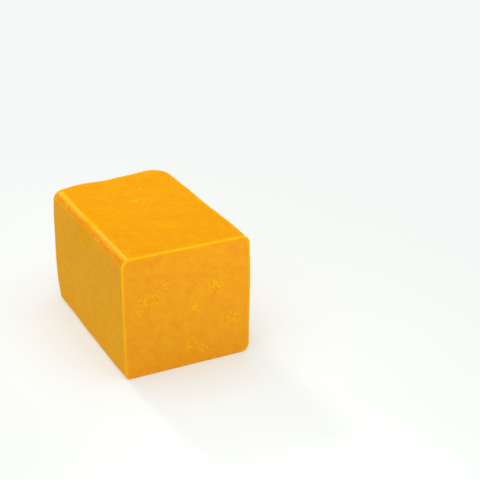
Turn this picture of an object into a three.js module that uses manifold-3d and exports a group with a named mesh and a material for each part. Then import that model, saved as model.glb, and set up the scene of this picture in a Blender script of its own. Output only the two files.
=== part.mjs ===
// Half of a moulded loaf of annatto-coloured cheddar: one solid block. The front is a flat wire-cut
// face with small openings between the curds. The other faces were pressed in a mould, so their edges
// are round and a little uneven. Units are millimetres. X runs across the cut face, Y from the cut
// face to the moulded end and Z up. The origin is on the resting plane, under the block's middle.
import * as THREE from 'three';
import { mergeVertices } from 'three/addons/utils/BufferGeometryUtils.js';
import Module from 'manifold-3d';

// Driving dimensions of the block
const BLOCK_WIDTH = 88.6;
const BLOCK_LENGTH = 140;
const BLOCK_HEIGHT = 85;

// Radius of each long moulded edge, and of the edges round the moulded end
const TOP_LEFT_RADIUS = 6.5;
const TOP_RIGHT_RADIUS = 5.5;
const BOTTOM_RIGHT_RADIUS = 6;
const BOTTOM_LEFT_RADIUS = 3;
const MOULDED_END_RADIUS = 11;

// Rows of facets along each side, crowded towards the edges so that the fillets stay round
const FACETS_ACROSS = 20;
const FACETS_ALONG = 24;
const CROWDING_ANGLE = THREE.MathUtils.degToRad(72);

// Slow waves that the mould left in the long faces, and how far they slant across each face
const WAVE_DEPTH = 0.12;
const WAVE_LENGTH = 57;
const WALL_WAVE_SLANT = 0.6;
const TOP_WAVE_SLANT = 0.4;

// From this height down to the flat underside the ups and downs fade out
const CALM_HEIGHT = 20;

// Swells and dents of the moulded faces: a middle, how far each reaches, and the push at its middle
const UNEVEN_PLACES = [
  { middle: [34, 63, 85], reach: 14, push: [0, 0, 1.5] }, // proud rear edge
  { middle: [-4, 65, 85], reach: 9, push: [0, 0, -0.7] }, // dip in the rear edge
  { middle: [-44, 68, 85], reach: 13, push: [0.9, -1.2, -1.6] }, // pressed left rear corner
  { middle: [45, 68, 84], reach: 10, push: [-4.2, -1.5, -2.6] }, // pressed right rear corner
  { middle: [-42, -6, 83], reach: 11, push: [0.35, 0, -0.4] }, // dent in the left edge
  { middle: [-42, 22, 83], reach: 13, push: [-0.3, 0, 0.25] }, // lump on the left edge
  { middle: [-42, -40, 84], reach: 8, push: [0.25, 0, -0.3] }, // nick in the left edge
  { middle: [42, -25, 85], reach: 36, push: [0.1, 0, 0.2] }, // full right edge
  { middle: [44, -58, 62], reach: 30, push: [1.1, 0, 0] }, // full right wall
  { middle: [-44, 54, 26], reach: 22, push: [-0.6, 0, 0] }, // full left wall
  { middle: [-44, 42, 0], reach: 36, push: [1.1, 0, 0] }, // narrow rear foot
  { middle: [-44, 66, 0], reach: 11, push: [0.6, -1.6, 0] }, // worn foot of the left rear edge
  { middle: [4, 69, 45], reach: 34, push: [0, 1.1, 0] }, // full moulded end
  { middle: [-24, 69, 66], reach: 11, push: [0, -0.8, 0] }, // hollow in the moulded end
];

// Groups of openings between curds on the cut face: the group's middle and spread in X and Z, how
// many openings it has, and the length of the longest
const CUT_FACE_OPENINGS = [
  { middle: [-13, 62], spread: [2.5, 1], count: 4, longest: 4.4 },
  { middle: [-25, 53.5], spread: [8, 3.5], count: 14, longest: 3.6 },
  { middle: [19.5, 54], spread: [4, 5], count: 8, longest: 3.2 },
  { middle: [31, 28], spread: [5, 3.5], count: 9, longest: 3.2 },
  { middle: [11, 10], spread: [3, 1.8], count: 6, longest: 2.2 },
  { middle: [1, 15], spread: [5, 2], count: 6, longest: 2.8 },
  { middle: [-27.5, 74.5], spread: [0.3, 0.2], count: 1, longest: 3.2 },
  { middle: [6, 42], spread: [4, 2], count: 3, longest: 2.8 },
  { middle: [-30, 46.5], spread: [6, 1.8], count: 6, longest: 2.8 },
];

// The shallower openings that pressing left in the top, with their places in X and Y
const TOP_OPENINGS = [
  { middle: [10.5, 35], spread: [0.5, 0.5], count: 1, longest: 3.4 },
  { middle: [4.5, 13], spread: [6, 8], count: 8, longest: 4 },
  { middle: [3, -33], spread: [5, 3], count: 4, longest: 3 },
];

// An opening's shortest length as a share of its group's longest, the least distance to its neighbour
// as a share of their mean length, its breadth as a share of its length, its depth as a share of its
// breadth, the share of that depth that its middle stands out of the face, its tilt, and how far its
// wall is broken up
const OPENING_SHORTEST = 0.5;
const OPENING_SPACING = 1.1;
const OPENING_BREADTH_LEAST = 0.35;
const OPENING_BREADTH_MOST = 0.65;
const CUT_FACE_OPENING_DEPTH = 0.4;
const TOP_OPENING_DEPTH = 0.35;
const OPENING_RAISE = 0.45;
const OPENING_TILT = THREE.MathUtils.degToRad(28);
const OPENING_ROUGHNESS = 0.22;

// Constants of the seeded draws, so that the block comes out the same each time
const DRAW_SEED = 20417;
const DRAW_FACTOR = 1664525;
const DRAW_STEP = 1013904223;
const DRAW_RANGE = 2 ** 32;

let drawState = DRAW_SEED;

function draw(low, high) {
  drawState = (drawState * DRAW_FACTOR + DRAW_STEP) % DRAW_RANGE;
  return low + (high - low) * (drawState / DRAW_RANGE);
}

// Moves an even row of stations between -1 and 1 towards its two ends
function crowd(station) {
  return Math.sin(station * CROWDING_ANGLE) / Math.sin(CROWDING_ANGLE);
}

// The long edge's radius in the quarter of the section that a point lies in
function longEdgeRadius(x, z) {
  if (z > 0) {
    return x < 0 ? TOP_LEFT_RADIUS : TOP_RIGHT_RADIUS;
  }
  return x < 0 ? BOTTOM_LEFT_RADIUS : BOTTOM_RIGHT_RADIUS;
}

// Pulls a point of the rectangular section's rim, measured from its middle, on to the round corners
function roundSection(x, z) {
  const radius = longEdgeRadius(x, z);
  const beyondX = Math.abs(x) - (BLOCK_WIDTH / 2 - radius);
  const beyondZ = Math.abs(z) - (BLOCK_HEIGHT / 2 - radius);
  if (beyondX <= 0 || beyondZ <= 0) {
    return [x, z];
  }
  const shorten = radius / Math.hypot(beyondX, beyondZ) - 1;
  return [x + Math.sign(x) * beyondX * shorten, z + Math.sign(z) * beyondZ * shorten];
}

// Takes a point of the cube that reaches from -1 to 1 to its place on the even, round-edged block
function placeOnBlock(point) {
  const across = crowd(point.x);
  const along = crowd(point.y);
  const up = crowd(point.z);
  const ring = Math.max(Math.abs(across), Math.abs(up));
  if (ring === 0) {
    return point.set(0, along * BLOCK_LENGTH / 2, BLOCK_HEIGHT / 2);
  }
  const [rimX, rimZ] = roundSection(across / ring * BLOCK_WIDTH / 2, up / ring * BLOCK_HEIGHT / 2);
  const halfSection = BLOCK_HEIGHT / 2;
  const roundStart = BLOCK_LENGTH / 2 - MOULDED_END_RADIUS;
  let inset = (1 - ring) * halfSection;
  let y = along * BLOCK_LENGTH / 2;
  const beyondStart = y - roundStart;
  const beyondInset = MOULDED_END_RADIUS - inset;
  if (beyondStart > 0 && beyondInset > 0) {
    const shorten = MOULDED_END_RADIUS / Math.hypot(beyondStart, beyondInset);
    y = roundStart + beyondStart * shorten;
    inset = MOULDED_END_RADIUS - beyondInset * shorten;
  }
  const share = 1 - inset / halfSection;
  return point.set(rimX * share, y, rimZ * share + BLOCK_HEIGHT / 2);
}

// Adds the mould's waves, swells and dents to a point, and leaves the underside and the cut plane flat
function pressUneven(point) {
  const { x, y, z } = point;
  const turn = 2 * Math.PI / WAVE_LENGTH;
  const wallShare = x / (BLOCK_WIDTH / 2);
  const topShare = z / BLOCK_HEIGHT;
  const move = new THREE.Vector3();
  move.x = wallShare * WAVE_DEPTH * Math.sin(turn * (y + WALL_WAVE_SLANT * z));
  move.z = topShare * WAVE_DEPTH * Math.cos(turn * (y - TOP_WAVE_SLANT * x));
  for (const { middle, reach, push } of UNEVEN_PLACES) {
    const distance = point.distanceTo(new THREE.Vector3(...middle)) / reach;
    move.addScaledVector(new THREE.Vector3(...push), Math.exp(-distance * distance));
  }
  move.y *= THREE.MathUtils.smoothstep(y, -BLOCK_LENGTH / 2, 0);
  move.z *= THREE.MathUtils.smoothstep(z, 0, CALM_HEIGHT);
  return point.add(move);
}

// Drops the shading data and merges the corners that faces share
function joinCorners(geometry) {
  geometry.deleteAttribute('normal');
  geometry.deleteAttribute('uv');
  return mergeVertices(geometry);
}

// Moves every corner of a geometry by a function of its point
function moveCorners(geometry, move) {
  const positions = geometry.getAttribute('position');
  const point = new THREE.Vector3();
  for (let i = 0; i < positions.count; i += 1) {
    move(point.fromBufferAttribute(positions, i));
    positions.setXYZ(i, point.x, point.y, point.z);
  }
  return geometry;
}

// The block before its openings
function mouldedBlock() {
  const cube = new THREE.BoxGeometry(2, 2, 2, FACETS_ACROSS, FACETS_ALONG, FACETS_ACROSS);
  return moveCorners(joinCorners(cube), (point) => pressUneven(placeOnBlock(point)));
}

// The place, length, breadth and tilt of each opening in a list of groups. One that would run into an
// earlier one is left out
function planOpenings(groups) {
  const plan = [];
  for (const { middle, spread, count, longest } of groups) {
    for (let i = 0; i < count; i += 1) {
      const place = [middle[0] + spread[0] * draw(-1, 1), middle[1] + spread[1] * draw(-1, 1)];
      const length = longest * (i === 0 ? 1 : draw(OPENING_SHORTEST, 1));
      const breadth = length * draw(OPENING_BREADTH_LEAST, OPENING_BREADTH_MOST);
      const tilt = draw(-OPENING_TILT, OPENING_TILT);
      const isClear = (other) => {
        const distance = Math.hypot(place[0] - other.place[0], place[1] - other.place[1]);
        return distance > OPENING_SPACING * (length + other.length) / 2;
      };
      if (plan.every(isClear)) {
        plan.push({ place, length, breadth, tilt });
      }
    }
  }
  return plan;
}

// One broken, lens-shaped opening about the origin: long in X, deep in Y, with its breadth in Z
function curdOpening({ length, breadth, tilt }, depthShare) {
  const lens = joinCorners(new THREE.IcosahedronGeometry(1, 1));
  moveCorners(lens, (point) => point.multiplyScalar(draw(1 - OPENING_ROUGHNESS, 1 + OPENING_ROUGHNESS)));
  lens.translate(0, -OPENING_RAISE, 0);
  return lens.scale(length / 2, breadth * depthShare, breadth / 2).rotateY(tilt);
}

const wasm = await Module();
wasm.setup();

function toSolid(geometry) {
  const vertProperties = new Float32Array(geometry.getAttribute('position').array);
  const triVerts = new Uint32Array(geometry.getIndex().array);
  return new wasm.Manifold(new wasm.Mesh({ numProp: 3, vertProperties, triVerts }));
}

function toGeometry(solid) {
  const { vertProperties, triVerts } = solid.getMesh();
  const geometry = new THREE.BufferGeometry();
  geometry.setAttribute('position', new THREE.BufferAttribute(vertProperties, 3));
  geometry.setIndex(new THREE.BufferAttribute(triVerts, 1));
  return geometry;
}

// The block with its openings cut out, stood with its middle over the origin
function cheddarGeometry() {
  const cutFacePlan = planOpenings(CUT_FACE_OPENINGS);
  const topPlan = planOpenings(TOP_OPENINGS);
  let solid = toSolid(mouldedBlock());
  for (const opening of cutFacePlan) {
    const [x, z] = opening.place;
    const lens = curdOpening(opening, CUT_FACE_OPENING_DEPTH).translate(x, -BLOCK_LENGTH / 2, z);
    solid = solid.subtract(toSolid(lens));
  }
  for (const opening of topPlan) {
    const [x, y] = opening.place;
    const lens = curdOpening(opening, TOP_OPENING_DEPTH).rotateX(-Math.PI / 2);
    solid = solid.subtract(toSolid(lens.translate(x, y, BLOCK_HEIGHT)));
  }
  const geometry = toGeometry(solid);
  geometry.computeBoundingBox();
  const middle = geometry.boundingBox.getCenter(new THREE.Vector3());
  geometry.translate(-middle.x, -middle.y, -geometry.boundingBox.min.z);
  geometry.computeVertexNormals();
  return geometry;
}

const cheddar = new THREE.MeshStandardMaterial({ color: 0xeea220, roughness: 0.5, metalness: 0 });

const block = new THREE.Mesh(cheddarGeometry(), cheddar);
block.name = 'cheddar_block';

const part = new THREE.Group();
part.add(block);

export default part;
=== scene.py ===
import math

import bmesh
import bpy
from mathutils import Matrix, Vector, kdtree, noise


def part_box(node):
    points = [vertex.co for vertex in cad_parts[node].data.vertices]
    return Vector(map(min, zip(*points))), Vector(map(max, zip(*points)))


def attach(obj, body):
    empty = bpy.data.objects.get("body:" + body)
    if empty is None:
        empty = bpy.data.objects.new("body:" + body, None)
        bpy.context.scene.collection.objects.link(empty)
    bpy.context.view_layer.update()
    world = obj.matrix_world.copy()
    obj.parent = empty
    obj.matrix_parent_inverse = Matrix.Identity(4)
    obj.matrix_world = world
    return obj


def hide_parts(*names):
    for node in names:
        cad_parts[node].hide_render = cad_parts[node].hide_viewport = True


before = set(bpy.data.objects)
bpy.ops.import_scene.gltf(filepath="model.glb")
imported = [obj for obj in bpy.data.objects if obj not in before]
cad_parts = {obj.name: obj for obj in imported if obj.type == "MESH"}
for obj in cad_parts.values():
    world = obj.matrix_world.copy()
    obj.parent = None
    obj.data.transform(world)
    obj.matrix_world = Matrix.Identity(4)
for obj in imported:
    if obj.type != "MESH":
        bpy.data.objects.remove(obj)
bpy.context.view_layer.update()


# The cheddar block
# Half of a pressed loaf of annatto-coloured cheddar, one solid of firm cheese. The loaf was moulded,
# so its faces are smooth and its edges round and uneven, and then cut across with a wire, so the
# front is flat with a crisp rim and shows the small openings where curds didn't knit.

MM = 0.001
BLOCK_WIDTH = 88.6 * MM
BLOCK_LENGTH = 140 * MM
BLOCK_HEIGHT = 85 * MM
TOP_LEFT_RADIUS = 6.5 * MM
TOP_RIGHT_RADIUS = 5.5 * MM
BOTTOM_RIGHT_RADIUS = 6 * MM
BOTTOM_LEFT_RADIUS = 3 * MM
MOULDED_END_RADIUS = 11 * MM
CUT_RIM_RADIUS = 0.6 * MM
CUT_PLANE = -BLOCK_LENGTH / 2

# Rows of faces along each side, crowded towards the edges so that the fillets stay round
ROWS_ACROSS = 76
ROWS_ALONG = 230
CROWDING_ACROSS = math.radians(79)
CROWDING_ALONG = math.radians(62)

# Slow waves that the mould left in the long faces, and how far they slant across each face
WAVE_DEPTH = 0.12 * MM
WAVE_LENGTH = 57 * MM
WALL_WAVE_SLANT = 0.6
TOP_WAVE_SLANT = 0.4

# From this height down to the flat underside the ups and downs fade out
CALM_HEIGHT = 20 * MM

# Swells and dents of the moulded faces in millimetres: a middle, a reach and the push at the middle
UNEVEN_PLACES = (
    ((34, 63, 85), 14, (0, 0, 1.5)),  # proud rear edge
    ((-4, 65, 85), 9, (0, 0, -0.7)),  # dip in the rear edge
    ((-44, 68, 85), 13, (0.9, -1.2, -1.6)),  # pressed left rear corner
    ((45, 68, 84), 10, (-4.2, -1.5, -2.6)),  # pressed right rear corner
    ((-42, -6, 83), 11, (0.35, 0, -0.4)),  # dent in the left edge
    ((-42, 22, 83), 13, (-0.3, 0, 0.25)),  # lump on the left edge
    ((-42, -40, 84), 8, (0.25, 0, -0.3)),  # nick in the left edge
    ((42, -25, 85), 36, (0.1, 0, 0.2)),  # full right edge
    ((44, -58, 62), 30, (1.1, 0, 0)),  # full right wall
    ((-44, 54, 26), 22, (-0.6, 0, 0)),  # full left wall
    ((-44, 42, 0), 36, (1.1, 0, 0)),  # narrow rear foot
    ((-44, 66, 0), 11, (0.6, -1.6, 0)),  # worn foot of the left rear edge
    ((4, 69, 45), 34, (0, 1.1, 0)),  # full moulded end
    ((-24, 69, 66), 11, (0, -0.8, 0)),  # hollow in the moulded end
)


def crowd(station, angle):
    """Moves an even row of stations between -1 and 1 towards its two ends."""
    return math.sin(station * angle) / math.sin(angle)


def long_edge_radius(x, z):
    """The long edge's radius in the quarter of the section that a point lies in."""
    if z > 0:
        return TOP_LEFT_RADIUS if x < 0 else TOP_RIGHT_RADIUS
    return BOTTOM_LEFT_RADIUS if x < 0 else BOTTOM_RIGHT_RADIUS


def round_section(x, z):
    """Pulls a point of the section's rim, measured from its middle, on to the round corners."""
    radius = long_edge_radius(x, z)
    beyond_x = abs(x) - (BLOCK_WIDTH / 2 - radius)
    beyond_z = abs(z) - (BLOCK_HEIGHT / 2 - radius)
    if beyond_x <= 0 or beyond_z <= 0:
        return x, z
    shorten = radius / math.hypot(beyond_x, beyond_z) - 1
    x += math.copysign(beyond_x, x) * shorten
    z += math.copysign(beyond_z, z) * shorten
    return x, z


def round_end(along, inset, radius):
    """Rounds the rim of one end: along is the distance from the block's middle towards that end."""
    beyond_start = along - (BLOCK_LENGTH / 2 - radius)
    beyond_inset = radius - inset
    if beyond_start <= 0 or beyond_inset <= 0:
        return along, inset
    shorten = radius / math.hypot(beyond_start, beyond_inset)
    return along + beyond_start * (shorten - 1), radius - beyond_inset * shorten


def place_on_block(cube_point):
    """Takes a point of the cube from -1 to 1 to its place on the even, round-edged block."""
    across = crowd(cube_point.x, CROWDING_ACROSS)
    along = crowd(cube_point.y, CROWDING_ALONG)
    up = crowd(cube_point.z, CROWDING_ACROSS)
    ring = max(abs(across), abs(up))
    y = along * BLOCK_LENGTH / 2
    if ring == 0:
        return Vector((0, y, BLOCK_HEIGHT / 2))
    rim_x, rim_z = round_section(across / ring * BLOCK_WIDTH / 2, up / ring * BLOCK_HEIGHT / 2)
    inset = (1 - ring) * BLOCK_HEIGHT / 2
    end_radius = MOULDED_END_RADIUS if y > 0 else CUT_RIM_RADIUS
    reach, inset = round_end(abs(y), inset, end_radius)
    share = 1 - inset / (BLOCK_HEIGHT / 2)
    return Vector((rim_x * share, math.copysign(reach, y), rim_z * share + BLOCK_HEIGHT / 2))


def smoothstep(value, low, high):
    """0 below low, 1 above high, and a smooth rise between them."""
    share = min(max((value - low) / (high - low), 0), 1)
    return share * share * (3 - 2 * share)


def press_uneven(point):
    """Adds the mould's waves, swells and dents, and leaves the underside and the cut plane flat."""
    x, y, z = point
    turn = 2 * math.pi / WAVE_LENGTH
    move = Vector((0, 0, 0))
    move.x = x / (BLOCK_WIDTH / 2) * WAVE_DEPTH * math.sin(turn * (y + WALL_WAVE_SLANT * z))
    move.z = z / BLOCK_HEIGHT * WAVE_DEPTH * math.cos(turn * (y - TOP_WAVE_SLANT * x))
    for middle, reach, push in UNEVEN_PLACES:
        distance = (point - Vector(middle) * MM).length / (reach * MM)
        move += Vector(push) * MM * math.exp(-distance * distance)
    move.y *= smoothstep(y, CUT_PLANE, 0)
    move.z *= smoothstep(z, 0, CALM_HEIGHT)
    return point + move


# The openings between curds, in groups: the middle and spread in millimetres, X and Z on the cut
# face and X and Y on the top, how many the group has, and the length of the longest
CUT_FACE_OPENINGS = (
    ((-13, 62), (2.5, 1), 4, 4.4),
    ((-25, 53.5), (8, 3.5), 14, 3.6),
    ((19.5, 54), (4, 5), 8, 3.2),
    ((31, 28), (5, 3.5), 9, 3.2),
    ((11, 10), (3, 1.8), 6, 2.2),
    ((1, 15), (5, 2), 6, 2.8),
    ((-27.5, 74.5), (0.3, 0.2), 1, 3.2),
    ((6, 42), (4, 2), 3, 2.8),
    ((-30, 46.5), (6, 1.8), 6, 2.8),
)
TOP_OPENINGS = (
    ((10.5, 35), (0.5, 0.5), 1, 3.4),
    ((4.5, 13), (6, 8), 8, 4),
    ((3, -33), (5, 3), 4, 3),
)

# An opening's shortest length as a share of its group's longest, the least distance to its neighbour
# as a share of their mean length, its breadth as a share of its length, its depth as a share of its
# breadth, the share of that depth that its middle stands out of the face, its tilt, and how far and
# how finely its wall is broken up
OPENING_SHORTEST = 0.5
OPENING_SPACING = 1.1
OPENING_BREADTH_LEAST = 0.35
OPENING_BREADTH_MOST = 0.65
CUT_FACE_OPENING_DEPTH = 0.4
TOP_OPENING_DEPTH = 0.35
OPENING_RAISE = 0.45
OPENING_TILT = math.radians(28)
OPENING_ROUGHNESS = 0.44
OPENING_LUMPS = 1.6
OPENING_DETAIL = 3

# Constants of the seeded draws, so that the block comes out the same each time
DRAW_SEED = 20417
DRAW_FACTOR = 1664525
DRAW_STEP = 1013904223
DRAW_RANGE = 2 ** 32

draw_state = DRAW_SEED


def draw(low, high):
    """The next seeded draw between low and high."""
    global draw_state
    draw_state = (draw_state * DRAW_FACTOR + DRAW_STEP) % DRAW_RANGE
    return low + (high - low) * draw_state / DRAW_RANGE


def plan_openings(groups):
    """Each opening's place, length, breadth and tilt. One that would run into another is left out."""
    plan = []
    for middle, spread, count, longest in groups:
        for index in range(count):
            place = [(middle[side] + spread[side] * draw(-1, 1)) * MM for side in (0, 1)]
            length = longest * MM * (1 if index == 0 else draw(OPENING_SHORTEST, 1))
            breadth = length * draw(OPENING_BREADTH_LEAST, OPENING_BREADTH_MOST)
            tilt = draw(-OPENING_TILT, OPENING_TILT)
            is_clear = True
            for other_place, other_length, _, _ in plan:
                least_distance = OPENING_SPACING * (length + other_length) / 2
                is_clear = is_clear and math.dist(place, other_place) > least_distance
            if is_clear:
                plan.append((place, length, breadth, tilt))
    return plan


cut_face_plan = plan_openings(CUT_FACE_OPENINGS)
top_plan = plan_openings(TOP_OPENINGS)

# Round each group of openings the curds sit loose, so crumbs stand up, with painted highlights on them
# and painted shade in the gaps between.
# The margin is in millimetres, and the inner and outer bounds are shares of a group's reach
LOOSE_MARGIN = Vector((2.2, 2.2, 2.2))
LOOSE_INNER = 0.45
LOOSE_OUTER = 1.1
CRUMB_SIZE = 1.8 * MM
CRUMB_HEIGHT = 0.16 * MM

loose_places = []
for (x, z), (reach_x, reach_z), _, _ in CUT_FACE_OPENINGS:
    reach = Vector((reach_x, 0, reach_z)) + LOOSE_MARGIN
    loose_places.append((Vector((x * MM, CUT_PLANE, z * MM)), reach * MM))
for (x, y), (reach_x, reach_y), _, _ in TOP_OPENINGS:
    reach = Vector((reach_x, reach_y, 0)) + LOOSE_MARGIN
    loose_places.append((Vector((x * MM, y * MM, BLOCK_HEIGHT)), reach * MM))


def loose_share(point):
    """How loose the curds sit at a point: 1 inside a group of openings and 0 away from it."""
    nearest = LOOSE_OUTER
    for middle, reach in loose_places:
        offset = point - middle
        distance = math.hypot(offset.x / reach.x, offset.y / reach.y, offset.z / reach.z)
        nearest = min(nearest, distance)
    return 1 - smoothstep(nearest, LOOSE_INNER, LOOSE_OUTER)


# A cube from -1 to 1 gets its rows of faces and then takes the block's shape. A point past CUBE_FACE
# lies on one of the cube's own faces
CUBE_SIZE = 2
CUBE_FACE = 0.999

block_mesh = bpy.data.meshes.new("cheddar_block_visual")
block = bpy.data.objects.new("cheddar_half_loaf", block_mesh)
bpy.context.collection.objects.link(block)

shape = bmesh.new()
bmesh.ops.create_cube(shape, size=CUBE_SIZE)
for axis, rows in enumerate((ROWS_ACROSS, ROWS_ALONG, ROWS_ACROSS)):
    along_axis = []
    for edge in shape.edges:
        start, end = edge.verts
        if abs(start.co[axis] - end.co[axis]) > CUBE_SIZE / 2:
            along_axis.append(edge)
    bmesh.ops.subdivide_edges(shape, edges=along_axis, cuts=rows - 1, use_grid_fill=True)

cut_rim_points = []
for vert in shape.verts:
    on_cut_rim = vert.co.y < -CUBE_FACE and max(abs(vert.co.x), abs(vert.co.z)) > CUBE_FACE
    vert.co = press_uneven(place_on_block(vert.co))
    if on_cut_rim:
        cut_rim_points.append(vert.co.copy())

# Faces near the openings are split finer, so that lips and crumbs keep their shape
FINE_CUTS = 3

fine_edges = []
for edge in shape.edges:
    start, end = edge.verts
    if loose_share((start.co + end.co) / 2) > 0:
        fine_edges.append(edge)
bmesh.ops.subdivide_edges(shape, edges=fine_edges, cuts=FINE_CUTS, use_grid_fill=True)

# Finer lumps of the moulded skin. They are deeper on the round edges, and deepest on a stretch of the
# left edge that was knocked about and scuffed. The underside and the cut face stay free of them
LUMP_SIZE = 9 * MM
LUMP_DEPTH = 0.07 * MM
EDGE_LUMP_SIZE = 5 * MM
EDGE_LUMP_DEPTH = 0.25 * MM
EDGE_GRAIN_SIZE = 2.1 * MM
EDGE_GRAIN_DEPTH = 0.4 * MM
KNOCK_SIZE = 3 * MM
KNOCK_DEPTH = 0.95 * MM
KNOCK_MIDDLE = Vector((-41, -3, 82)) * MM
KNOCK_REACH = 18 * MM
SCUFF_REACH = 13 * MM
SKIN_MARGIN = 4 * MM

# A point is on a round edge where its normal leans away from all three axes, from the start of the
# edge to where it is full. The edges that don't head left are worn less, and take less of the painted
# light and shade that the left edge gets. LEAST_LEAN keeps a level face, which heads nowhere, from
# dividing by zero
EDGE_LEAN = (0.02, 0.2)
LEFT_HEADING = (0.3, 0.9)
LEAST_LEAN = 0.001
OTHER_EDGE_WEAR_AND_LIGHT = 0.35

# Slopes in degrees from level that tell the top, the upper and lower half of a round top edge, and
# the walls apart: where each one's colour fades in and where it fades out. The top and the walls take
# painted shade, the upper half of an edge a painted glow, and the lower half a band of painted shade,
# which is patchy too
TOP_FADES_OUT = (4, 26)
EDGE_HIGH_FADES_IN = (2, 12)
EDGE_HIGH_FADES_OUT = (26, 46)
EDGE_LOW_FADES_IN = (34, 54)
EDGE_LOW_FADES_OUT = (62, 80)
WALL_FADES_IN = (68, 84)
EDGE_TONE_SIZE = 2.6 * MM
EDGE_TONE_MEAN = 0.7

# The shares are kept with each point for the colours and the sheen
shape.normal_update()
top_layer = shape.verts.layers.float.new("top_share")
wall_layer = shape.verts.layers.float.new("wall_share")
edge_low_shade_layer = shape.verts.layers.float.new("edge_low_shade_share")
edge_high_glow_layer = shape.verts.layers.float.new("edge_high_glow_share")
scuff_layer = shape.verts.layers.float.new("scuff_share")
lumps = []
for vert in shape.verts:
    slope = math.degrees(math.acos(min(max(vert.normal.z, -1), 1)))
    behind_cut = smoothstep(vert.co.y, CUT_PLANE + CUT_RIM_RADIUS / 2, CUT_PLANE + CUT_RIM_RADIUS)
    heading_left = -vert.normal.x / max(math.hypot(vert.normal.x, vert.normal.y), LEAST_LEAN)
    edge_wear_and_light = OTHER_EDGE_WEAR_AND_LIGHT + (1 - OTHER_EDGE_WEAR_AND_LIGHT) * smoothstep(heading_left, *LEFT_HEADING)
    edge_tone = min(max(EDGE_TONE_MEAN + noise.noise(vert.co / EDGE_TONE_SIZE), 0), 1)
    # The lower half of a round top edge takes a band of painted shade, the upper half a painted glow
    edge_low = smoothstep(slope, *EDGE_LOW_FADES_IN) * (1 - smoothstep(slope, *EDGE_LOW_FADES_OUT))
    edge_high = smoothstep(slope, *EDGE_HIGH_FADES_IN) * (1 - smoothstep(slope, *EDGE_HIGH_FADES_OUT))
    knock_distance = (vert.co - KNOCK_MIDDLE).length
    vert[top_layer] = 1 - smoothstep(slope, *TOP_FADES_OUT)
    vert[wall_layer] = smoothstep(slope, *WALL_FADES_IN) * behind_cut
    vert[edge_low_shade_layer] = edge_low * behind_cut * edge_tone * edge_wear_and_light
    vert[edge_high_glow_layer] = edge_high * behind_cut * edge_wear_and_light
    vert[scuff_layer] = math.exp(-(knock_distance / SCUFF_REACH) ** 2)

    flatness = max(abs(part) for part in vert.normal)
    edge_share = smoothstep(1 - flatness, *EDGE_LEAN) * edge_wear_and_light
    knock_share = math.exp(-(knock_distance / KNOCK_REACH) ** 2)
    skin_share = smoothstep(vert.co.y, CUT_PLANE + CUT_RIM_RADIUS, CUT_PLANE + SKIN_MARGIN)
    skin_share *= smoothstep(vert.co.z, 0, SKIN_MARGIN)
    height = noise.noise(vert.co / LUMP_SIZE) * LUMP_DEPTH
    height += noise.noise(vert.co / EDGE_LUMP_SIZE) * EDGE_LUMP_DEPTH * edge_share
    height += noise.noise(vert.co / EDGE_GRAIN_SIZE) * EDGE_GRAIN_DEPTH * edge_share
    height += noise.noise(vert.co / KNOCK_SIZE) * KNOCK_DEPTH * edge_share * knock_share
    crumb = noise.noise(vert.co / CRUMB_SIZE) * CRUMB_HEIGHT * loose_share(vert.co)
    lumps.append(vert.normal * (height * skin_share + crumb))
for vert, lump in zip(shape.verts, lumps):
    vert.co += lump
shape.to_mesh(block_mesh)
shape.free()


def add_opening(cutters, middle, length, breadth, depth, turn):
    """Adds one broken, lens-shaped cutter: long in X, deep in Y and broad in Z before its turn."""
    lens = bmesh.ops.create_icosphere(cutters, subdivisions=OPENING_DETAIL, radius=1)["verts"]
    for vert in lens:
        broken = noise.noise(vert.co * OPENING_LUMPS + middle / MM)
        vert.co *= 1 + OPENING_ROUGHNESS * broken
        vert.co.y -= OPENING_RAISE
    size = Matrix.Diagonal((length / 2, depth, breadth / 2, 1))
    bmesh.ops.transform(cutters, matrix=Matrix.Translation(middle) @ turn @ size, verts=lens)


openings = bmesh.new()
opening_places = []
for (x, z), length, breadth, tilt in cut_face_plan:
    middle = Vector((x, CUT_PLANE, z))
    turn = Matrix.Rotation(tilt, 4, "Y")
    add_opening(openings, middle, length, breadth, breadth * CUT_FACE_OPENING_DEPTH, turn)
    opening_places.append((middle, length))
for (x, y), length, breadth, tilt in top_plan:
    middle = Vector((x, y, BLOCK_HEIGHT))
    turn = Matrix.Rotation(-math.pi / 2, 4, "X") @ Matrix.Rotation(tilt, 4, "Y")
    add_opening(openings, middle, length, breadth, breadth * TOP_OPENING_DEPTH, turn)
    opening_places.append((middle, length))
cutter_mesh = bpy.data.meshes.new("curd_openings")
openings.to_mesh(cutter_mesh)
openings.free()
cutter = bpy.data.objects.new("curd_openings", cutter_mesh)
bpy.context.collection.objects.link(cutter)

cut_openings = block.modifiers.new("curd_openings", "BOOLEAN")
cut_openings.operation = "DIFFERENCE"
cut_openings.solver = "MANIFOLD"
cut_openings.object = cutter
bpy.context.view_layer.objects.active = block
block.select_set(True)
bpy.ops.object.modifier_apply(modifier=cut_openings.name)
bpy.data.objects.remove(cutter)

# A painted glow along the rim of the cut, standing in for light that leaks through the thin cheese
# there: paler fully as far as RIM_PALE_FULL and not past RIM_PALE_WIDTH, unevenly, less at the sides
# and not at the foot
RIM_PALE_FULL = 0.4 * MM
RIM_PALE_WIDTH = 1.7 * MM
RIM_FOOT = 5 * MM
RIM_SIDE_SHARE = 0.5
RIM_UNEVEN_SIZE = 6 * MM
RIM_UNEVEN = 0.35

# The lower lip of an opening and the crumbs get a painted highlight, where they would catch the light,
# and the upper lip and the gaps between crumbs get painted shade. Lips are measured in lengths of their
# opening, and crumbs by the height that made them
LIP_NEARNESS = (0.35, 0.6)
LIP_BAND = 0.12
CRUMB_RISE = (0.04, 0.26)
CUT_CRUMB_SHARE = 0.82
TOP_CRUMB_SHARE = 0.4

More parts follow.
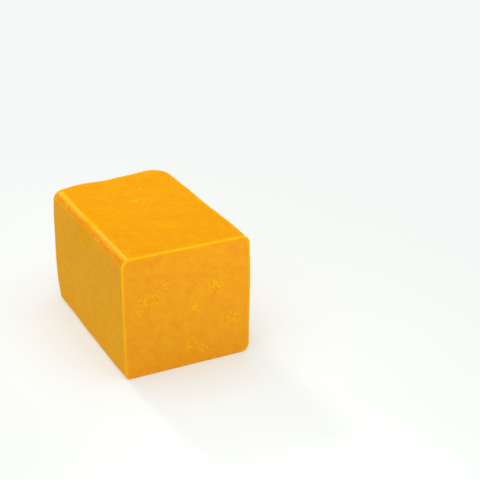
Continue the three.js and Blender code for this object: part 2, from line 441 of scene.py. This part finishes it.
# The outermost layer of the loaf is drier, and deeper in colour where the cut shows it: fully as far
# as the first distance from the rim, and not past the second
DRY_LAYER = (2 * MM, 11 * MM)


def search_tree(points):
    """A tree that finds the nearest of some points."""
    tree = kdtree.KDTree(len(points))
    for index, point in enumerate(points):
        tree.insert(point, index)
    tree.balance()
    return tree


rim_tree = search_tree(cut_rim_points)
opening_tree = search_tree([middle for middle, length in opening_places])
shares = {"rim_glow_share": [], "lip_highlight_share": [], "recess_shade_share": [], "dry_share": []}
for vert in block_mesh.vertices:
    rim_distance = rim_tree.find(vert.co)[2]
    up_share = smoothstep(vert.co.z, BLOCK_HEIGHT / 2, BLOCK_HEIGHT - TOP_LEFT_RADIUS)
    rim = RIM_SIDE_SHARE + (1 - RIM_SIDE_SHARE) * up_share
    rim *= 1 - RIM_UNEVEN * (0.5 + noise.noise(vert.co / RIM_UNEVEN_SIZE))
    rim *= 1 - smoothstep(rim_distance, RIM_PALE_FULL, RIM_PALE_WIDTH)
    shares["rim_glow_share"].append(rim * smoothstep(vert.co.z, 0, RIM_FOOT))

    middle, length = opening_places[opening_tree.find(vert.co)[1]]
    offset = (vert.co - middle) / length
    below = -offset.z if middle.y == CUT_PLANE else -offset.y
    lip = smoothstep(1 - offset.length, *LIP_NEARNESS)
    low_side = smoothstep(below, -LIP_BAND, LIP_BAND)
    on_top = vert.co.z > BLOCK_HEIGHT - SKIN_MARGIN
    loose = loose_share(vert.co) * (TOP_CRUMB_SHARE if on_top else CUT_CRUMB_SHARE)
    height = noise.noise(vert.co / CRUMB_SIZE)
    crumb = loose * smoothstep(height, *CRUMB_RISE)
    gap = loose * smoothstep(-height, *CRUMB_RISE)
    shares["lip_highlight_share"].append(max(lip * low_side, crumb))
    shares["recess_shade_share"].append(max(lip * (1 - low_side), gap))

    on_cut = 1 - smoothstep(vert.co.y, CUT_PLANE, CUT_PLANE + CUT_RIM_RADIUS)
    shares["dry_share"].append(on_cut * (1 - smoothstep(rim_distance, *DRY_LAYER)))
for name, values in shares.items():
    block_mesh.attributes.new(name, "FLOAT", "POINT").data.foreach_set("value", values)

# The block stands where the frame has it, smooth but for the lips of the openings
SHARP_ANGLE = math.radians(40)

low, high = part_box("cheddar_block")
mesh_low = Vector(min(vert.co[axis] for vert in block_mesh.vertices) for axis in range(3))
mesh_high = Vector(max(vert.co[axis] for vert in block_mesh.vertices) for axis in range(3))
to_frame = (Vector(low) + Vector(high) - mesh_low - mesh_high) / 2
to_frame.z = low[2] - mesh_low.z
block_mesh.transform(Matrix.Translation(to_frame))
block_mesh.shade_smooth()
block_mesh.set_sharp_from_angle(angle=SHARP_ANGLE)

# Cheddar: firm, oily curd coloured with annatto, pressed and wire-cut. It gives the eye a deep, even
# orange-yellow that glows at thin edges, faint mottling where curds knitted, and a soft oily sheen. The
# glow is partly scattering under the surface and partly painted, and the colour carries painted light
# and shade as well
BODY_COLOUR = "#F3A51E"
DEEP_COLOUR = "#F09C1E"
LIGHT_COLOUR = "#F5AD20"
# The next three are painted shade: the top a little deeper and less blue, the walls darker and more olive
TOP_SHADE_TINT = "#FFF568"
WALL_SHADE_TINT = "#F2F3EC"
WALL_SHADE_COLOUR = "#F2A802"
# A deeper orange for painted shade, on the lower half of round edges and in the upper lips of openings
PAINTED_SHADE_COLOUR = "#ED8B10"
# A paler yellow for painted glow and painted highlights, on round edges, the cut's rim, lips and crumbs
PAINTED_GLOW_COLOUR = "#FEC30C"

# Sizes of the patterns in millimetres. The real grain is finer, and is drawn this coarse to show
MOTTLE_SIZE = 14
CURD_SIZE = 4.5
GRAIN_SIZE = 1.2
STREAK_LENGTH = 16
STREAK_WIDTH = 2.4
STREAK_TURN = math.radians(22)
BLOTCH_SIZE = 5

# What each pattern adds to the tone beside the curds, and the sums that give the deepest and the
# lightest colour
MOTTLE_WEIGHT = 0.6
STREAK_WEIGHT = 0.85
GRAIN_WEIGHT = 0.6
TONE_DEEP = 1.18
TONE_LIGHT = 1.88

# Where in their pattern the blotches of the walls start and are full, and how strong they get
BLOTCH_STARTS = 0.45
BLOTCH_FULL = 0.65
BLOTCH_STRENGTH = 0.8

# Sockets of a node that mixes colours. It has others of the same names for other kinds of values
MIX_SHARE = 0
MIX_FROM = 6
MIX_TO = 7
MIX_RESULT = 2


def linear(hex_colour):
    """An sRGB hex colour as linear red, green, blue and alpha."""
    channels = [int(hex_colour[start:start + 2], 16) / 255 for start in (1, 3, 5)]
    return [c / 12.92 if c <= 0.04045 else ((c + 0.055) / 1.055) ** 2.4 for c in channels] + [1]


def pattern_scale(size_mm):
    """A texture's scale for a pattern of that size, on coordinates in metres."""
    return 1 / (size_mm * MM)


def add_node(tree, kind, inputs=(), **settings):
    """Adds a node with its settings. An input is a value, or another node's output to link."""
    node = tree.nodes.new(kind)
    for name, value in settings.items():
        setattr(node, name, value)
    for socket, value in dict(inputs).items():
        if isinstance(value, bpy.types.NodeSocket):
            tree.links.new(value, node.inputs[socket])
        else:
            node.inputs[socket].default_value = value
    return node


cheddar = bpy.data.materials.new("annatto_cheddar")
cheddar.use_nodes = True
tree = cheddar.node_tree
surface = tree.nodes["Principled BSDF"]
position = add_node(tree, "ShaderNodeTexCoord").outputs["Object"]

# Patterns: slow mottling, curds, streaks across the skin, a fine grain, and blotches of the walls
mottle = add_node(tree, "ShaderNodeTexNoise", {
    "Vector": position, "Scale": pattern_scale(MOTTLE_SIZE), "Detail": 3, "Roughness": 0.55})
curds = add_node(tree, "ShaderNodeTexNoise", {
    "Vector": position, "Scale": pattern_scale(CURD_SIZE),
    "Detail": 3, "Roughness": 0.6, "Distortion": 0.6})
streak_turned = add_node(tree, "ShaderNodeMapping", {
    "Vector": position, "Rotation": (0, 0, STREAK_TURN)})
streak_place = add_node(tree, "ShaderNodeMapping", {
    "Vector": streak_turned.outputs["Vector"],
    "Scale": (pattern_scale(STREAK_LENGTH), pattern_scale(STREAK_WIDTH), pattern_scale(STREAK_WIDTH))})
streaks = add_node(tree, "ShaderNodeTexNoise", {
    "Vector": streak_place.outputs["Vector"], "Scale": 1, "Detail": 3, "Roughness": 0.55})
grain = add_node(tree, "ShaderNodeTexNoise", {
    "Vector": position, "Scale": pattern_scale(GRAIN_SIZE), "Detail": 2, "Roughness": 0.5})
blotches = add_node(tree, "ShaderNodeTexNoise", {
    "Vector": position, "Scale": pattern_scale(BLOTCH_SIZE),
    "Detail": 2, "Roughness": 0.6, "Distortion": 0.4})

# Colour: the patterns' sum runs from deep to light
tone = curds.outputs["Fac"]
for pattern, weight in ((mottle, MOTTLE_WEIGHT), (streaks, STREAK_WEIGHT), (grain, GRAIN_WEIGHT)):
    added = add_node(tree, "ShaderNodeMath", {
        0: pattern.outputs["Fac"], 1: weight, 2: tone}, operation="MULTIPLY_ADD")
    tone = added.outputs[0]
tone_share = add_node(tree, "ShaderNodeMapRange", {
    "Value": tone, "From Min": TONE_DEEP, "From Max": TONE_LIGHT})
body_colour = add_node(tree, "ShaderNodeValToRGB", {"Fac": tone_share.outputs[0]})
body_colour.color_ramp.elements[0].color = linear(DEEP_COLOUR)
body_colour.color_ramp.elements[1].color = linear(LIGHT_COLOUR)
body_colour.color_ramp.elements.new(0.5).color = linear(BODY_COLOUR)
colour = body_colour.outputs["Color"]

# Faces, edges, rims and lips then take their own tints: the share that each follows, how it is laid
# on, its strength and its colour. All but the walls' blotches and the dry layer are painted light or
# shade
blotch = add_node(tree, "ShaderNodeMapRange", {
    "Value": blotches.outputs["Fac"],
    "From Min": BLOTCH_STARTS, "From Max": BLOTCH_FULL, "To Max": BLOTCH_STRENGTH})
TINTS = (
    # painted shade: the top is tinted deeper and less blue, to offset the strong light and white sheen
    # from above
    ("top_share", "MULTIPLY", 1, TOP_SHADE_TINT),
    # painted shade on the walls: a more olive colour and a darker tint for the dimmer light they get; the
    # deep blotches are the cheese's own
    ("wall_share", "MIX", 0.55, WALL_SHADE_COLOUR),
    ("wall_share", "MIX", blotch.outputs[0], DEEP_COLOUR),
    ("wall_share", "MULTIPLY", 1, WALL_SHADE_TINT),
    ("dry_share", "MIX", 0.1, DEEP_COLOUR),
    # painted shade: a deeper orange band where a round top edge turns from the lit top to the shaded wall
    ("edge_low_shade_share", "MIX", 0.95, PAINTED_SHADE_COLOUR),
    # painted glow: a paler band round the highlight on the upper half of a round top edge
    ("edge_high_glow_share", "MIX", 0.55, PAINTED_GLOW_COLOUR),
    # painted glow along the rim of the cut
    ("rim_glow_share", "MIX", 1, PAINTED_GLOW_COLOUR),
    # painted shade in the upper lips of openings and in the gaps between crumbs
    ("recess_shade_share", "MIX", 0.32, PAINTED_SHADE_COLOUR),
    # painted highlight on the lower lips of openings and on the crumbs
    ("lip_highlight_share", "MIX", 0.85, PAINTED_GLOW_COLOUR),
)
for attribute, blend, strength, tint in TINTS:
    share = add_node(tree, "ShaderNodeAttribute", attribute_name=attribute)
    share = add_node(tree, "ShaderNodeMath", {0: share.outputs["Fac"], 1: strength}, operation="MULTIPLY")
    mixed = add_node(tree, "ShaderNodeMix", data_type="RGBA", blend_type=blend, inputs={
        MIX_SHARE: share.outputs[0], MIX_FROM: colour, MIX_TO: linear(tint)})
    colour = mixed.outputs[MIX_RESULT]
tree.links.new(colour, surface.inputs["Base Color"])

# Gloss: a thin oily film, a little uneven over the curds, that the scuffed stretch has lost
OILY_CURD = 0.3
DRY_CURD = 0.7
OILY_ROUGHNESS = 0.28
DRY_ROUGHNESS = 0.4
SHEEN = 0.1
SCUFFED_SHEEN = 0.015

gloss = add_node(tree, "ShaderNodeMapRange", {
    "Value": curds.outputs["Fac"], "From Min": OILY_CURD, "From Max": DRY_CURD,
    "To Min": OILY_ROUGHNESS, "To Max": DRY_ROUGHNESS})
tree.links.new(gloss.outputs[0], surface.inputs["Roughness"])
scuff = add_node(tree, "ShaderNodeAttribute", attribute_name="scuff_share")
sheen = add_node(tree, "ShaderNodeMapRange", {
    "Value": scuff.outputs["Fac"], "To Min": SHEEN, "To Max": SCUFFED_SHEEN})
tree.links.new(sheen.outputs[0], surface.inputs["Coat Weight"])

# Relief: fine grain and the streaks of the pressed skin
GRAIN_RELIEF = 0.15 * MM
GRAIN_STRENGTH = 0.25
STREAK_RELIEF = 0.25 * MM
STREAK_STRENGTH = 0.3

grain_relief = add_node(tree, "ShaderNodeBump", {
    "Height": grain.outputs["Fac"], "Strength": GRAIN_STRENGTH, "Distance": GRAIN_RELIEF})
streak_relief = add_node(tree, "ShaderNodeBump", {
    "Height": streaks.outputs["Fac"], "Normal": grain_relief.outputs["Normal"],
    "Strength": STREAK_STRENGTH, "Distance": STREAK_RELIEF})
tree.links.new(streak_relief.outputs["Normal"], surface.inputs["Normal"])

# Milk fat's index of refraction, and light that scatters under the surface, red the farthest. The
# sheen lies in the oily coat alone
FAT_IOR = 1.45
CHEDDAR_SOCKETS = {
    "IOR": FAT_IOR,
    "Specular IOR Level": 0,
    "Coat IOR": FAT_IOR,
    "Coat Roughness": 0.29,
    "Subsurface Weight": 0.6,
    "Subsurface Radius": (1.0, 0.35, 0.08),
    "Subsurface Scale": 6 * MM,
}

for socket, value in CHEDDAR_SOCKETS.items():
    surface.inputs[socket].default_value = value
block_mesh.materials.clear()
block_mesh.materials.append(cheddar)

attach(block, "root")
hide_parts("cheddar_block")


# The floor
# A sheet of plain white studio acrylic, matt and clean, lit a little from below, that the block
# stands on.

FLOOR_RADIUS = 6
FLOOR_SIDES = 96
FLOOR_COLOUR = "#B1B4B2"
FLOOR_GLOW_COLOUR = "#FDFFFD"
FLOOR_SHADOW_COLOUR = "#DBCEB5"
FLOOR_GLOW = 0.545
SHADOW_REACH = 60 * MM

floor_shape = bmesh.new()
bmesh.ops.create_circle(floor_shape, cap_ends=True, segments=FLOOR_SIDES, radius=FLOOR_RADIUS)
floor_mesh = bpy.data.meshes.new("studio_floor")
floor_shape.to_mesh(floor_mesh)
floor_shape.free()
floor = bpy.data.objects.new("studio_floor", floor_mesh)
bpy.context.collection.objects.link(floor)

# Acrylic: a cast sheet with a matt face. It gives the eye a plain white with no shine
acrylic = bpy.data.materials.new("matt_white_acrylic")
acrylic.use_nodes = True
acrylic_surface = acrylic.node_tree.nodes["Principled BSDF"]
acrylic_surface.inputs["Base Color"].default_value = linear(FLOOR_COLOUR)
acrylic_surface.inputs["Roughness"].default_value = 0.9
acrylic_surface.inputs["Specular IOR Level"].default_value = 0
acrylic_surface.inputs["Emission Strength"].default_value = FLOOR_GLOW

# Painted shadow: the sheet glows less where the block stands over it, and warmer, a painted bounce of
# light off the cheese
painted_shadow = add_node(acrylic.node_tree, "ShaderNodeAmbientOcclusion", {"Distance": SHADOW_REACH})
floor_glow_and_shadow = add_node(acrylic.node_tree, "ShaderNodeMix", data_type="RGBA", inputs={
    MIX_SHARE: painted_shadow.outputs["AO"],
    MIX_FROM: linear(FLOOR_SHADOW_COLOUR),
    MIX_TO: linear(FLOOR_GLOW_COLOUR)})
acrylic.node_tree.links.new(floor_glow_and_shadow.outputs[MIX_RESULT], acrylic_surface.inputs["Emission Color"])
floor_mesh.materials.append(acrylic)


# The light
# A white studio tent with a very large soft panel overhead, towards the left front. One small lamp
# reaches the top of the cut face from the front right, one the floor in front of the block, and one
# behind the block runs a highlight along its left edge.

BLOCK_MIDDLE = Vector((0, 0, BLOCK_HEIGHT / 2))
TENT_COLOUR = "#FFFFFF"
TENT_STRENGTH = 0.42


def add_lamp(name, kind, place, power, aim=BLOCK_MIDDLE, **settings):
    """A lamp of one kind at a place, turned to its aim."""
    lamp = bpy.data.lights.new(name, kind)
    lamp.energy = power
    for setting, value in settings.items():
        setattr(lamp, setting, value)
    holder = bpy.data.objects.new(name, lamp)
    holder.location = place
    holder.rotation_euler = (Vector(aim) - Vector(place)).to_track_quat("-Z", "Y").to_euler()
    holder.visible_camera = False
    bpy.context.collection.objects.link(holder)


add_lamp("overhead_panel", "SUN", place=(-0.2, -0.27, 0.94), power=1.5, angle=math.radians(110))
add_lamp("cut_face_spot", "SPOT", place=(0.45, -0.85, 0.2), power=6, aim=(0.045, -0.07, 0.122),
         spot_size=math.radians(16.4), spot_blend=1)
add_lamp("floor_spot", "SPOT", place=(-0.1, -0.45, 0.8), power=5, aim=(-0.06, -0.32, 0),
         spot_size=math.radians(30), spot_blend=1)
add_lamp("edge_spot", "SPOT", place=(-0.08, 1.05, 0.79), power=38,
         spot_size=math.radians(14), spot_blend=1, shadow_soft_size=0.14)

world = bpy.data.worlds.new("white_tent")
world.use_nodes = True
world.node_tree.nodes["Background"].inputs["Color"].default_value = linear(TENT_COLOUR)
world.node_tree.nodes["Background"].inputs["Strength"].default_value = TENT_STRENGTH
bpy.context.scene.world = world


# The camera
# A long lens held above and to the left of the cut face, with the whole image as its frame. The lens
# and the sensor are in millimetres.

CAMERA_FROM_CUT_FACE = Vector((-301, -685.7, 431.8)) * MM
CAMERA_PITCH = math.radians(24.54)
CAMERA_HEADING = math.radians(26.26)
CAMERA_ROLL = math.radians(-0.22)
CAMERA_LENS = 98.1
CAMERA_SENSOR = 36

camera = bpy.data.objects.new("camera", bpy.data.cameras.new("camera"))
camera.data.sensor_width = CAMERA_SENSOR
camera.data.lens = CAMERA_LENS
camera.location = Vector((0, low[1], 0)) + CAMERA_FROM_CUT_FACE
turned = Matrix.Rotation(-CAMERA_HEADING, 3, "Z") @ Matrix.Rotation(math.pi / 2 - CAMERA_PITCH, 3, "X")
camera.rotation_euler = (turned @ Matrix.Rotation(CAMERA_ROLL, 3, "Z")).to_euler()
bpy.context.collection.objects.link(camera)
bpy.context.scene.camera = camera
bpy.context.scene.view_settings.view_transform = "Standard"
